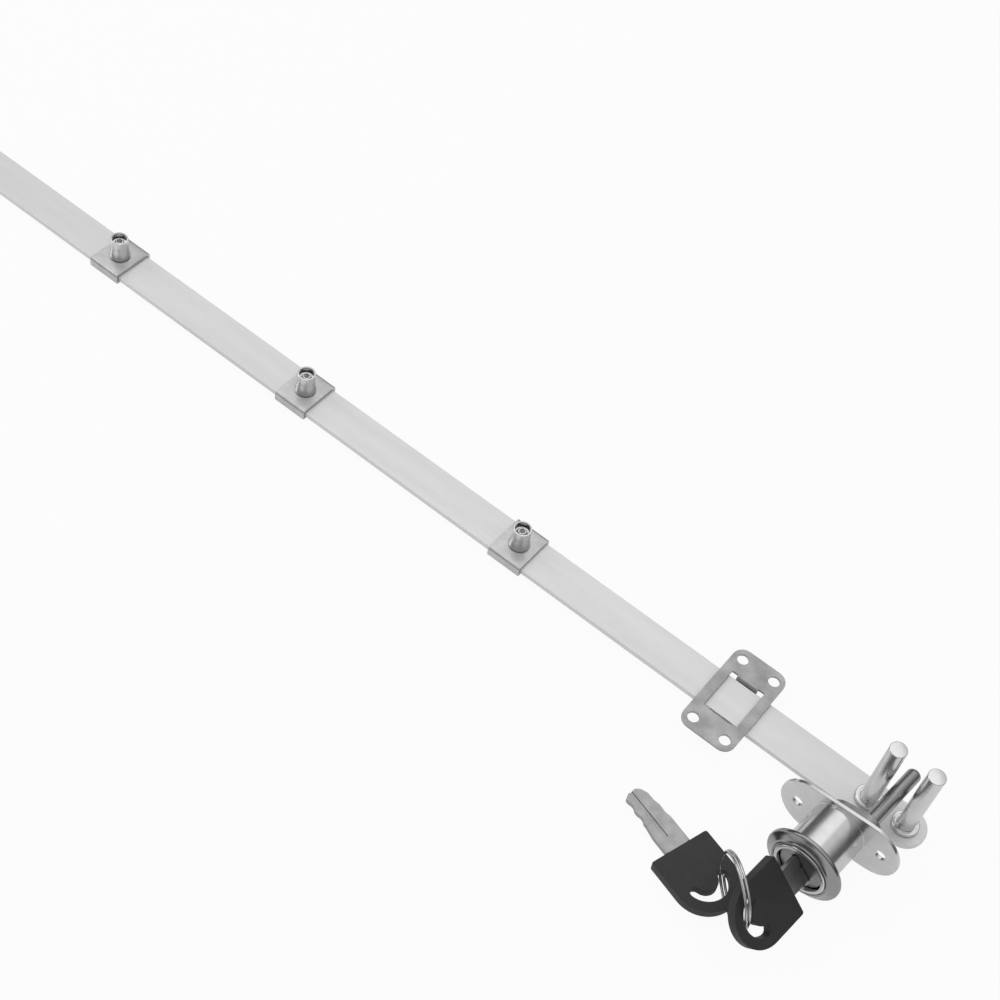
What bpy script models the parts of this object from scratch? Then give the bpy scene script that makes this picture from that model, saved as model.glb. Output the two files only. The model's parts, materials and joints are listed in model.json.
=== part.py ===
"""A multi-drawer lock laid out flat, with its locking bar, bar clips, guide plate and two keys.

Sizes are in millimetres. X runs along the locking bar, and is 0 where the lock axis crosses it.
Y runs across the bar, with the key at its negative end. Z is 0 on the upper face of the bar.
The lock lies a few degrees off square to the bar, and its own pieces share its turned axes.
"""

import math

import bmesh
import bpy
from mathutils import Matrix, Vector

MM = 0.001
GAP = 0.3  # air left between two pieces that touch
WIDE_STEPS = 48  # facets round the lock barrel and its rings
PIN_STEPS = 24  # facets round the pins
SMALL_STEPS = 16  # facets round screws and wires

# Locking bar, with one half-round end.
BAR_LENGTH = 450.0
BAR_WIDTH = 15.0
BAR_THICK = 2.0
BAR_PIN_SPACING = 14.0
BAR_PIN_RADIUS = 3.0
BAR_PIN_HEIGHT = 32.0
COLLAR_RADIUS = 4.6
COLLAR_HEIGHT = 1.2
RIVET_RADIUS = 1.9

# Sheet steel of the bar clips and the guide plate, which also sets how high the bar lies.
SHEET = 1.0
BEND_RADIUS = 1.3
FLOOR_Z = -(BAR_THICK + GAP + SHEET)

# Bar clips, each with a hollow catch pin and a clamping screw in it.
CLIP_PLACES = (-335.5, -242.6, -144.3)
CLIP_LENGTH = 13.5
CLIP_LIP = 4.5
CATCH_RADIUS = 2.9
CATCH_FLARE = 3.9
CATCH_HEIGHT = 9.0
CATCH_BORE = 2.0
SPIGOT_RADIUS = 2.7
HEX_ACROSS = 2.0
HEX_DEPTH = 2.5

# Guide plate that lies over the bar, with two tabs bent down beside it.
GUIDE_X = -53.7
GUIDE_LENGTH = 20.4
GUIDE_WIDTH = 38.4
GUIDE_CORNER = 4.2
GUIDE_HOLE_X = 6.32
GUIDE_HOLE_Y = 15.0
GUIDE_HOLE_RADIUS = 2.05
WINDOW_LENGTH = 13.0
TAB_LENGTH = 8.2

# Lock housing: a barrel with a flange at its rear end. It lies turned this far from square,
# and rolled until the flange all but rests on the table too.
LOCK_TURN = math.radians(5.0)
HOUSING_ROLL = math.radians(-13.0)
BARREL_RADIUS = 9.5
BARREL_LENGTH = 20.9
FLANGE_FRONT_Y = -22.4
FLANGE_THICK = 1.3
FLANGE_HALF_HEIGHT = 10.9
FLANGE_LOBE_X = 11.1
FLANGE_LOBE_RADIUS = 10.8
FLANGE_HOLE_X = 15.5
FLANGE_HOLE_RADIUS = 1.9
RIM_WIDTH = 1.3
FACE_RECESS = 1.4
WAFER_GROOVE_DEPTH = 1.1

# Trim ring pushed on to the front of the barrel.
TRIM_RADIUS = 13.5
TRIM_THICK = 3.3
TRIM_SETBACK = 0.3

# Lock plug, which the key turns.
PLUG_RADIUS = 6.6
PLUG_COLLAR_LENGTH = 2.1
BOSS_HALF = 3.3
BOSS_LENGTH = 3.0
SCREW_RADIUS = 1.4
SCREW_DEPTH = 5.0
SCREW_HEAD_RADIUS = 2.9
SCREW_HEAD_THICK = 1.6

# Wafers, which the key blade lifts level with the plug, and their springs.
WAFER_COUNT = 5
WAFER_PITCH = 2.5
WAFER_THICK = 1.0
WAFER_HALF_WIDTH = 2.8
WAFER_PLAY = 0.15
WAFER_LUG_REACH = 1.5
WAFER_LUG_LOW = 2.4
WAFER_LUG_HIGH = 3.5
SPRING_BORE = 0.95
SPRING_COIL_RADIUS = 0.5
SPRING_WIRE_RADIUS = 0.12
SPRING_TURNS = 4
SPRING_LOW = -1.2

# Cam behind the housing, with the pin that stands between the two bar pins.
CAM_RADIUS = 7.0
CAM_LOBE_RADIUS = 4.2
CAM_THICK = 4.0
CAM_OFFSET = 8.3
CAM_ANGLE = math.radians(40.0)
CAM_PIN_RADIUS = 2.5
CAM_PIN_END_Y = 9.0
CAM_SPIGOT_RADIUS = 1.5

# Keys: a metal blade in a moulded bow.
KEY_TILT = math.radians(41.0)
BLADE_TIP_Y = -25.9
BLADE_HALF_WIDTH = 4.7
BLADE_LENGTH = 23.5
BLADE_THICK = 1.8
BLADE_PLAIN = 6.5
TANG_LENGTH = 7.0
TANG_HALF_WIDTH = 4.0
CUT_DEPTHS = (0.7, 1.3, 0.9, 1.5, 1.1)
BOW_HALF_WIDTH = 11.0
BOW_LENGTH = 24.5
BOW_THICK = 3.2
BOW_BEVEL = 0.5
BOW_SLOT_INNER = 4.0
BOW_SLOT_OUTER = 7.5
BOW_SLOT_REACH = math.radians(74.0)

# Spare key, lying with its blade on the table and its bow on the split ring. The place is
# given along the lock's turned axes, from the shoulder of the key in the lock, at bar height.
SPARE_PLACE = (-32.34, -9.66, -0.957)
SPARE_HEADING = math.radians(77.6)
SPARE_PITCH = math.radians(-3.5)

# Split ring of two coils through both bows. It crosses the turning key on the lock axis.
RING_CROSSING = 5.86  # from the centre of the bow's round end to the crossing
RING_RADIUS = 11.83
RING_WIRE_RADIUS = 0.5
RING_PITCH = 1.15
RING_END = math.radians(35.0)
RING_HEADING = math.radians(145.5)
RING_LEAN = math.radians(6.7)

# Places that follow from the sizes above.
AXIS_Z = FLOOR_Z + TRIM_RADIUS
RIM_FRONT_Y = FLANGE_FRONT_Y - BARREL_LENGTH
HOUSING_REAR_Y = FLANGE_FRONT_Y + FLANGE_THICK
PLUG_FACE_Y = RIM_FRONT_Y + FACE_RECESS
COLLAR_REAR_Y = PLUG_FACE_Y + PLUG_COLLAR_LENGTH
COUNTERBORE_RADIUS = BARREL_RADIUS - RIM_WIDTH
CAM_FRONT_Y = HOUSING_REAR_Y + GAP
CAM_REAR_Y = CAM_FRONT_Y + CAM_THICK
BAR_PINS_X = CAM_OFFSET * math.cos(CAM_ANGLE) / math.cos(LOCK_TURN)
OUTER_PIN_X = BAR_PINS_X + BAR_PIN_SPACING / 2
INNER_PIN_X = BAR_PINS_X - BAR_PIN_SPACING / 2
CLIP_HALF_WIDTH = BAR_WIDTH / 2 + GAP + SHEET
SHOULDER_Y = BLADE_TIP_Y - BLADE_LENGTH
SPARE_SHOULDER = Vector((SPARE_PLACE[0], SHOULDER_Y + SPARE_PLACE[1], SPARE_PLACE[2]))
FIRST_WAFER_Y = COLLAR_REAR_Y + 1.9
SLOT_CENTRE_Y = BOW_HALF_WIDTH - BOW_LENGTH


def clear_scene():
    """Empties the scene."""
    for item in list(bpy.data.objects):
        bpy.data.objects.remove(item)


def finish(name, colour, metallic, roughness):
    """A plain surface finish."""
    material = bpy.data.materials.new(name + "_finish")
    material.use_nodes = True
    shader = material.node_tree.nodes["Principled BSDF"]
    shader.inputs["Base Color"].default_value = (*colour, 1.0)
    shader.inputs["Metallic"].default_value = metallic
    shader.inputs["Roughness"].default_value = roughness
    material.diffuse_color = (*colour, 1.0)
    return material


STEEL = ((0.66, 0.66, 0.66), 1.0, 0.35)
BRIGHT = ((0.72, 0.72, 0.72), 1.0, 0.18)
ZINC = ((0.45, 0.45, 0.45), 1.0, 0.4)
BRASS = ((0.62, 0.5, 0.28), 1.0, 0.35)
PLASTIC = ((0.035, 0.035, 0.035), 0.0, 0.5)


def add_object(name, mesh_data, place, look=None, smooth=True):
    """Puts a mesh, in millimetres about the given place, into the scene."""
    mesh = bpy.data.meshes.new(name)
    bmesh.ops.recalc_face_normals(mesh_data, faces=mesh_data.faces[:])
    if mesh_data.calc_volume(signed=True) < 0:
        bmesh.ops.reverse_faces(mesh_data, faces=mesh_data.faces[:])
    bmesh.ops.scale(mesh_data, vec=(MM, MM, MM), verts=mesh_data.verts[:])
    mesh_data.to_mesh(mesh)
    mesh_data.free()
    if smooth:
        mesh.shade_smooth()
        mesh.set_sharp_from_angle(angle=math.radians(32))
    made = bpy.data.objects.new(name, mesh)
    bpy.context.scene.collection.objects.link(made)
    location, rotation, _ = place.decompose()
    made.location = location * MM
    made.rotation_euler = rotation.to_euler()
    if look is None:
        made.hide_render = True
        made.display_type = "WIRE"
    else:
        mesh.materials.append(finish(name, *look))
    return made


def at(x=0.0, y=0.0, z=0.0):
    """A place with no turn."""
    return Matrix.Translation((x, y, z))


def in_lock():
    """The lock's own axes: Y along the lock axis, which crosses the middle of the bar."""
    return Matrix.Rotation(-LOCK_TURN, 4, "Z") @ at(z=AXIS_Z)


def on_plug():
    """The lock's axes turned with the plug, so that X lies along the width of the key blade."""
    return in_lock() @ Matrix.Rotation(KEY_TILT, 4, "Y")


def cut(target, cutter, operation="DIFFERENCE"):
    """Takes the cutter out of the target, or adds it."""
    modifier = target.modifiers.new(cutter.name, "BOOLEAN")
    modifier.operation = operation
    modifier.object = cutter
    modifier.solver = "EXACT"


def arc(x, y, radius, start, end, steps):
    """Points on an arc, both ends included."""
    turn = end - start
    angles = [start + turn * step / steps for step in range(steps + 1)]
    return [(x + radius * math.cos(a), y + radius * math.sin(a)) for a in angles]


def circle(x, y, radius, steps):
    """Points round a circle."""
    return arc(x, y, radius, 0.0, 2 * math.pi, steps)[:-1]


def rounded_rectangle(width, height, radius, steps=5):
    """An outline about the origin with rounded corners."""
    points = []
    for corner, (side_x, side_y) in enumerate(((1, 1), (-1, 1), (-1, -1), (1, -1))):
        centre_x = side_x * (width / 2 - radius)
        centre_y = side_y * (height / 2 - radius)
        start = corner * math.pi / 2
        points += arc(centre_x, centre_y, radius, start, start + math.pi / 2, steps)
    return points


def along_x(a, b, height):
    """A point at this height along X."""
    return Vector((height, a, b))


def along_y(a, b, height):
    """A point at this height along Y."""
    return Vector((a, height, b))


def along_z(a, b, height):
    """A point at this height along Z."""
    return Vector((a, b, height))


def prism(outline, low, high, direction, holes=()):
    """A plate with this outline and these holes, from low to high in the given direction."""
    mesh = bmesh.new()
    edges = []
    for loop in (outline, *holes):
        points = [mesh.verts.new(direction(a, b, low)) for a, b in loop]
        for index, point in enumerate(points):
            edges.append(mesh.edges.new((point, points[index - 1])))
    bmesh.ops.triangle_fill(mesh, edges=edges, use_beauty=True)
    grown = bmesh.ops.extrude_face_region(mesh, geom=mesh.faces[:])
    moved = [item for item in grown["geom"] if isinstance(item, bmesh.types.BMVert)]
    step = direction(0.0, 0.0, high) - direction(0.0, 0.0, low)
    bmesh.ops.translate(mesh, verts=moved, vec=step)
    return mesh


def box(x_size, y_size, z_size, centre=(0.0, 0.0, 0.0)):
    """A box about a centre."""
    mesh = bmesh.new()
    bmesh.ops.create_cube(mesh, size=1.0)
    bmesh.ops.scale(mesh, vec=(x_size, y_size, z_size), verts=mesh.verts[:])
    bmesh.ops.translate(mesh, vec=centre, verts=mesh.verts[:])
    return mesh


def together(parts):
    """One mesh that holds several separate shapes."""
    whole = bmesh.new()
    for part in parts:
        carrier = bpy.data.meshes.new("carrier")
        part.to_mesh(carrier)
        part.free()
        whole.from_mesh(carrier)
        bpy.data.meshes.remove(carrier)
    return whole


def lathe(profile, steps, direction=along_y):
    """A profile of (radius, height) points turned about the axis of the given direction."""
    mesh = bmesh.new()
    rings = []
    for radius, height in profile:
        if radius == 0.0:
            rings.append([mesh.verts.new(direction(0.0, 0.0, height))])
            continue
        ring = [mesh.verts.new(direction(a, b, height)) for a, b in circle(0.0, 0.0, radius, steps)]
        rings.append(ring)
    pairs = list(zip(rings, rings[1:]))
    if profile[0][0] > 0.0:
        pairs.append((rings[-1], rings[0]))
    for lower, upper in pairs:
        for index in range(steps):
            corners = [lower[index % len(lower)], lower[(index + 1) % len(lower)]]
            corners += [upper[(index + 1) % len(upper)], upper[index % len(upper)]]
            corners = list(dict.fromkeys(corners))
            if len(corners) > 2:
                mesh.faces.new(corners)
    return mesh


def wound_wire(radius, wire_radius, start, step_angle, heights, sides):
    """A wire round the Z axis that stands at one of the heights after each step, flat at both ends."""
    mesh = bmesh.new()
    previous = None
    for step, height in enumerate(heights):
        turn = start + step * step_angle
        rise = heights[min(step + 1, len(heights) - 1)] - heights[max(step - 1, 0)]
        outward = Vector((math.cos(turn), math.sin(turn), 0.0))
        onward = Vector((-math.sin(turn), math.cos(turn), rise / (2 * radius * step_angle)))
        upward = outward.cross(onward).normalized()
        centre = outward * radius + Vector((0.0, 0.0, height))
        ring = []
        for a, b in circle(0.0, 0.0, wire_radius, sides):
            ring.append(mesh.verts.new(centre + outward * a + upward * b))
        if previous is None:
            mesh.faces.new(ring)
        else:
            for index in range(sides):
                mesh.faces.new((previous[index - 1], previous[index], ring[index], ring[index - 1]))
        previous = ring
    mesh.faces.new(previous)
    return mesh


def make_bar():
    """The flat locking bar with a half-round end and two rivet holes."""
    half = BAR_WIDTH / 2
    outline = arc(OUTER_PIN_X, 0.0, half, -math.pi / 2, math.pi / 2, 20)
    far_end = OUTER_PIN_X + half - BAR_LENGTH
    outline += [(far_end, half), (far_end, -half)]
    hole = RIVET_RADIUS + GAP
    holes = [circle(x, 0.0, hole, PIN_STEPS) for x in (INNER_PIN_X, OUTER_PIN_X)]
    mesh = prism(outline, -BAR_THICK, 0.0, along_z, holes)
    add_object("lock_bar", mesh, at(), STEEL)


def make_bar_pin(name, x):
    """A turned pin with a collar, riveted through the bar."""
    top = BAR_PIN_HEIGHT
    collar_top = GAP + COLLAR_HEIGHT
    profile = [
        (0.0, -BAR_THICK),
        (RIVET_RADIUS, -BAR_THICK),
        (RIVET_RADIUS, GAP),
        (COLLAR_RADIUS, GAP),
        (COLLAR_RADIUS, collar_top - 0.4),
        (COLLAR_RADIUS - 0.4, collar_top),
        (BAR_PIN_RADIUS + 0.3, collar_top),
        (BAR_PIN_RADIUS, collar_top + 0.3),
        (BAR_PIN_RADIUS, top - 0.35),
        (BAR_PIN_RADIUS - 0.35, top),
        (0.0, top),
    ]
    add_object(name, lathe(profile, PIN_STEPS, along_z), at(x), BRIGHT)


def clip_outline():
    """The end view of a bar clip: a C that closes over the bar and turns in below it."""
    top = GAP + SHEET
    inner = CLIP_HALF_WIDTH - SHEET
    lip_top = -(BAR_THICK + GAP)
    lip_end = CLIP_HALF_WIDTH - CLIP_LIP
    bend = BEND_RADIUS
    right = arc(CLIP_HALF_WIDTH - bend, top - bend, bend, math.pi / 2, 0.0, 4)
    right += arc(CLIP_HALF_WIDTH - bend, FLOOR_Z + bend, bend, 0.0, -math.pi / 2, 4)
    right += [(lip_end, FLOOR_Z), (lip_end, lip_top), (inner, lip_top), (inner, GAP)]
    left = [(-y, z) for y, z in reversed(right)]
    return right + left


def make_clip(number, x):
    """A clip of bent sheet round the bar, with its catch pin and clamping screw."""
    mesh = prism(clip_outline(), -CLIP_LENGTH / 2, CLIP_LENGTH / 2, along_x)
    clip = add_object(f"bar_clip_{number}", mesh, at(x), ZINC)
    hole = prism(circle(0.0, 0.0, SPIGOT_RADIUS + GAP, PIN_STEPS), -GAP, 3 * SHEET, along_z)
    cut(clip, add_object(f"clip_hole_{number}", hole, at(x)))
    make_catch_pin(number, x)
    make_set_screw(number, x)


def make_catch_pin(number, x):
    """A hollow pin with a flared foot, swaged into the top of the clip."""
    foot = GAP + SHEET + GAP
    top = GAP + SHEET + CATCH_HEIGHT
    flare = CATCH_FLARE - CATCH_RADIUS
    profile = [
        (CATCH_BORE, 2 * GAP),
        (SPIGOT_RADIUS, 2 * GAP),
        (SPIGOT_RADIUS, foot),
        (CATCH_FLARE, foot),
        (CATCH_FLARE - 0.1 * flare, foot + 0.4),
        (CATCH_RADIUS + 0.4 * flare, foot + 1.1),
        (CATCH_RADIUS + 0.1 * flare, foot + 2.2),
        (CATCH_RADIUS, foot + 3.4),
        (CATCH_RADIUS, top - 0.5),
        (CATCH_RADIUS - 0.35, top),
        (CATCH_BORE + 0.2, top),
        (CATCH_BORE, top - 0.3),
    ]
    add_object(f"catch_pin_{number}", lathe(profile, PIN_STEPS, along_z), at(x), BRIGHT)


def make_set_screw(number, x):
    """The screw inside a catch pin that clamps the clip to the bar."""
    radius = CATCH_BORE - GAP
    top = GAP + SHEET + CATCH_HEIGHT - 1.6
    profile = [
        (0.0, GAP),
        (radius - 0.5, GAP),
        (radius, GAP + 0.5),
        (radius, top - 0.3),
        (radius - 0.3, top),
        (0.0, top),
    ]
    screw = add_object(f"set_screw_{number}", lathe(profile, SMALL_STEPS, along_z), at(x), ZINC)
    socket = circle(0.0, 0.0, HEX_ACROSS / math.sqrt(3), 6)
    hexagon = prism(socket, top - HEX_DEPTH, top + 1.0, along_z)
    cut(screw, add_object(f"hex_socket_{number}", hexagon, at(x)))


def tab_outline(side):
    """The end view of a guide tab, from the plate round a bend and down beside the bar."""
    inner = BAR_WIDTH / 2 + GAP
    top = GAP + SHEET
    bend_y = inner + BEND_RADIUS
    bend_z = top - BEND_RADIUS
    points = [(bend_y + 0.6, top)]
    points += arc(bend_y, bend_z, BEND_RADIUS, math.pi / 2, math.pi, 5)
    points += [(inner, FLOOR_Z), (inner + SHEET, FLOOR_Z)]
    points += arc(bend_y, bend_z, BEND_RADIUS - SHEET, math.pi, math.pi / 2, 3)
    points += [(bend_y + 0.6, GAP)]
    return [(side * y, z) for y, z in points]


def make_guide_plate():
    """The plate that holds the bar down: a window, four screw holes and two bent tabs."""
    outline = rounded_rectangle(GUIDE_LENGTH, GUIDE_WIDTH, GUIDE_CORNER)
    window_width = BAR_WIDTH + 2 * (GAP + SHEET) + 0.2
    holes = [rounded_rectangle(WINDOW_LENGTH, window_width, 0.4, 2)]
    for side_x in (-1, 1):
        for side_y in (-1, 1):
            hole = circle(side_x * GUIDE_HOLE_X, side_y * GUIDE_HOLE_Y, GUIDE_HOLE_RADIUS, PIN_STEPS)
            holes.append(hole)
    mesh = prism(outline, GAP, GAP + SHEET, along_z, holes)
    plate = add_object("guide_plate", mesh, at(GUIDE_X), ZINC)
    for name, side in (("near", -1), ("far", 1)):
        tab = prism(tab_outline(side), -TAB_LENGTH / 2, TAB_LENGTH / 2, along_x)
        cut(plate, add_object(f"guide_tab_{name}", tab, at(GUIDE_X)), "UNION")


def flange_outline():
    """Two round lobes drawn tangent to a larger circle about the lock axis."""
    spread = FLANGE_HALF_HEIGHT - FLANGE_LOBE_RADIUS
    tangent = math.acos(spread / FLANGE_LOBE_X)
    outline = arc(FLANGE_LOBE_X, 0.0, FLANGE_LOBE_RADIUS, -tangent, tangent, 14)
    outline += arc(0.0, 0.0, FLANGE_HALF_HEIGHT, tangent, math.pi - tangent, 5)
    outline += arc(-FLANGE_LOBE_X, 0.0, FLANGE_LOBE_RADIUS, math.pi - tangent, math.pi + tangent, 14)
    outline += arc(0.0, 0.0, FLANGE_HALF_HEIGHT, math.pi + tangent, 2 * math.pi - tangent, 5)
    return outline


def make_housing():
    """The barrel and rear flange in one casting, bored for the plug and grooved for the wafers."""
    holes = [circle(side * FLANGE_HOLE_X, 0.0, FLANGE_HOLE_RADIUS, PIN_STEPS) for side in (-1, 1)]
    flange = prism(flange_outline(), FLANGE_FRONT_Y, HOUSING_REAR_Y, along_y, holes)
    rolled = in_lock() @ Matrix.Rotation(HOUSING_ROLL, 4, "Y")
    housing = add_object("lock_housing", flange, rolled, BRIGHT)
    join_y = FLANGE_FRONT_Y + FLANGE_THICK / 2
    barrel = lathe(
        [
            (0.0, RIM_FRONT_Y),
            (BARREL_RADIUS - 0.3, RIM_FRONT_Y),
            (BARREL_RADIUS, RIM_FRONT_Y + 0.3),
            (BARREL_RADIUS, join_y),
            (0.0, join_y),
        ],
        WIDE_STEPS,
    )
    cut(housing, add_object("barrel_form", barrel, in_lock()), "UNION")
    bore = lathe(
        [
            (0.0, RIM_FRONT_Y - 1.0),
            (COUNTERBORE_RADIUS, RIM_FRONT_Y - 1.0),
            (COUNTERBORE_RADIUS, COLLAR_REAR_Y + GAP),
            (PLUG_RADIUS + GAP, COLLAR_REAR_Y + GAP),
            (PLUG_RADIUS + GAP, HOUSING_REAR_Y + 1.0),
            (0.0, HOUSING_REAR_Y + 1.0),
        ],
        WIDE_STEPS,
    )
    cut(housing, add_object("housing_bore", bore, in_lock()))
    groove_length = WAFER_COUNT * WAFER_PITCH + 1.0
    groove_y = FIRST_WAFER_Y + (WAFER_COUNT - 1) * WAFER_PITCH / 2
    groove_span = 2 * (PLUG_RADIUS + GAP + WAFER_GROOVE_DEPTH)
    groove = box(groove_span, groove_length, 2 * WAFER_HALF_WIDTH, (0.0, groove_y, 0.0))
    cut(housing, add_object("wafer_groove", groove, on_plug()))


def make_trim_ring():
    """A dished ring round the front of the barrel, flat where it meets the drawer front."""
    front = RIM_FRONT_Y + TRIM_SETBACK
    rear = front + TRIM_THICK
    inner = BARREL_RADIUS + GAP
    profile = [
        (inner, rear),
        (TRIM_RADIUS - 0.5, rear),
        (TRIM_RADIUS, rear - 0.5),
        (TRIM_RADIUS, rear - 1.1),
        (TRIM_RADIUS - 0.35, rear - 1.5),
        (TRIM_RADIUS - 1.0, rear - 1.7),
        (inner + 1.6, rear - 2.2),
        (inner + 0.9, front + 0.5),
        (inner + 0.6, front),
        (inner, front),
    ]
    add_object("trim_ring", lathe(profile, WIDE_STEPS), in_lock(), BRIGHT)


def make_plug():
    """The turning plug: collar, keyway, a slot for each wafer, and a square boss for the cam."""
    collar_radius = COUNTERBORE_RADIUS - GAP
    plug_form = lathe(
        [
            (0.0, PLUG_FACE_Y),
            (collar_radius - 0.3, PLUG_FACE_Y),
            (collar_radius, PLUG_FACE_Y + 0.3),
            (collar_radius, COLLAR_REAR_Y),
            (PLUG_RADIUS, COLLAR_REAR_Y),
            (PLUG_RADIUS, HOUSING_REAR_Y),
            (0.0, HOUSING_REAR_Y),
        ],
        WIDE_STEPS,
    )
    plug = add_object("lock_plug", plug_form, on_plug(), BRIGHT)
    boss_size = 2 * BOSS_HALF
    boss_y = HOUSING_REAR_Y + BOSS_LENGTH / 2 - 1.0
    boss = box(boss_size, BOSS_LENGTH + 2.0, boss_size, (0.0, boss_y, 0.0))
    cut(plug, add_object("plug_boss", boss, on_plug()), "UNION")
    keyway_length = BLADE_TIP_Y + GAP - PLUG_FACE_Y + 1.0
    keyway_y = BLADE_TIP_Y + GAP - keyway_length / 2
    keyway = box(
        2 * (BLADE_HALF_WIDTH + GAP), keyway_length, BLADE_THICK + 2 * GAP, (0.0, keyway_y, 0.0)
    )
    cut(plug, add_object("keyway", keyway, on_plug()))
    slots = []
    wells = []
    for number in range(WAFER_COUNT):
        y = FIRST_WAFER_Y + number * WAFER_PITCH
        slots.append(wafer_slot(y))
        wells.append(spring_well(y))
    cut(plug, add_object("wafer_slots", together(slots), on_plug()))
    cut(plug, add_object("spring_wells", together(wells), on_plug()))
    thread_radius = SCREW_RADIUS + GAP
    end_y = HOUSING_REAR_Y + BOSS_LENGTH
    outline = circle(0.0, 0.0, thread_radius, SMALL_STEPS)
    thread = prism(outline, end_y - SCREW_DEPTH, end_y + 1.0, along_y)
    cut(plug, add_object("plug_thread", thread, on_plug()))


def wafer_slot(y):
    """The space through the plug that one wafer slides in."""
    width = 2 * (WAFER_HALF_WIDTH + GAP)
    return box(3 * PLUG_RADIUS, WAFER_THICK + 2 * WAFER_PLAY, width, (0.0, y, 0.0))


def spring_well(y):
    """The blind round hole beside a wafer slot, which holds the spring under the wafer's lug."""
    centre_z = WAFER_HALF_WIDTH + GAP + SPRING_BORE - 0.15
    floor = SPRING_LOW - GAP
    outline = circle(y, centre_z, SPRING_BORE, SMALL_STEPS)
    return prism(outline, floor, 2 * PLUG_RADIUS, along_x)


def wafer_outline():
    """A disc with flat sides, and a lug on one side for the spring to push on."""
    radius = PLUG_RADIUS - WAFER_PLAY
    half = WAFER_HALF_WIDTH
    lean = math.asin(half / radius)
    reach = half + WAFER_LUG_REACH
    outline = arc(0.0, 0.0, radius, -lean, lean, 6)
    outline += [(WAFER_LUG_HIGH, half), (WAFER_LUG_HIGH, reach)]
    outline += [(WAFER_LUG_LOW, reach), (WAFER_LUG_LOW, half)]
    outline += arc(0.0, 0.0, radius, math.pi - lean, math.pi + lean, 6)
    return outline


def wafer_window(number):
    """The opening in a wafer that stands on the floor of its cut in the key blade."""
    half_width = BLADE_THICK / 2 + GAP
    low = CUT_DEPTHS[number] - BLADE_HALF_WIDTH - WAFER_PLAY
    high = BLADE_HALF_WIDTH + WAFER_PLAY
    return [(high, half_width), (low, half_width), (low, -half_width), (high, -half_width)]


def make_wafer(number):
    """One flat wafer and the coil spring beside it."""
    y = FIRST_WAFER_Y + number * WAFER_PITCH
    low = y - WAFER_THICK / 2
    mesh = prism(wafer_outline(), low, low + WAFER_THICK, along_y, [wafer_window(number)])
    add_object(f"wafer_{number + 1}", mesh, on_plug(), BRASS, smooth=False)
    length = WAFER_LUG_LOW - GAP - SPRING_LOW - 2 * SPRING_WIRE_RADIUS
    count = SPRING_TURNS * 10
    heights = [length * (step / count - 0.5) for step in range(count + 1)]
    turn = 2 * math.pi / 10
    spring = wound_wire(SPRING_COIL_RADIUS, SPRING_WIRE_RADIUS, 0.0, turn, heights, 5)
    centre_x = SPRING_LOW + SPRING_WIRE_RADIUS + length / 2
    centre_z = WAFER_HALF_WIDTH + GAP + SPRING_BORE - 0.15
    stand = at(centre_x, y, centre_z) @ Matrix.Rotation(math.pi / 2, 4, "Y")
    bmesh.ops.transform(spring, matrix=stand, verts=spring.verts[:])
    add_object(f"wafer_spring_{number + 1}", spring, on_plug(), STEEL)


def cam_pin_place():
    """Where the cam pin stands, seen from the plug's own axes."""
    angle = CAM_ANGLE + KEY_TILT
    return CAM_OFFSET * math.cos(angle), CAM_OFFSET * math.sin(angle)


def cam_outline():
    """A large round about the plug, drawn out to a smaller one about the pin."""
    pin_x, pin_z = cam_pin_place()
    middle = math.atan2(pin_z, pin_x)
    tangent = math.acos((CAM_RADIUS - CAM_LOBE_RADIUS) / CAM_OFFSET)
    outline = arc(0.0, 0.0, CAM_RADIUS, middle + tangent, middle + 2 * math.pi - tangent, 28)
    outline += arc(pin_x, pin_z, CAM_LOBE_RADIUS, middle - tangent, middle + tangent, 12)
    return outline


def make_cam_disc():
    """The cam fixed behind the plug: a square socket, a screw hole and a hole for the pin."""
    pin_x, pin_z = cam_pin_place()
    outline = cam_outline()
    holes = [
        circle(0.0, 0.0, SCREW_RADIUS + GAP, SMALL_STEPS),
        circle(pin_x, pin_z, CAM_SPIGOT_RADIUS + GAP, SMALL_STEPS),
    ]
    mesh = prism(outline, CAM_FRONT_Y, CAM_REAR_Y, along_y, holes)
    disc = add_object("cam_disc", mesh, on_plug(), ZINC)
    size = 2 * (BOSS_HALF + GAP)
    floor = HOUSING_REAR_Y + BOSS_LENGTH + GAP
    length = floor - CAM_FRONT_Y + 1.0
    socket = box(size, length, size, (0.0, floor - length / 2, 0.0))
    cut(disc, add_object("boss_socket", socket, on_plug()))


def make_cam_pin():
    """The eccentric pin with a round end, which pushes the bar by its two pins."""
    start = CAM_REAR_Y + GAP
    radius = CAM_PIN_RADIUS
    profile = [
        (0.0, CAM_FRONT_Y),
        (CAM_SPIGOT_RADIUS, CAM_FRONT_Y),
        (CAM_SPIGOT_RADIUS, start),
        (radius, start),
    ]
    dome_y = CAM_PIN_END_Y - 0.7 * radius
    for angle in (0.0, 25.0, 50.0, 72.0):
        turn = math.radians(angle)
        profile.append((radius * math.cos(turn), dome_y + 0.7 * radius * math.sin(turn)))
    profile.append((0.0, CAM_PIN_END_Y))
    mesh = lathe(profile, PIN_STEPS)
    pin_x, pin_z = cam_pin_place()
    bmesh.ops.translate(mesh, vec=(pin_x, 0.0, pin_z), verts=mesh.verts[:])
    add_object("cam_pin", mesh, on_plug(), BRIGHT)


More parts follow.
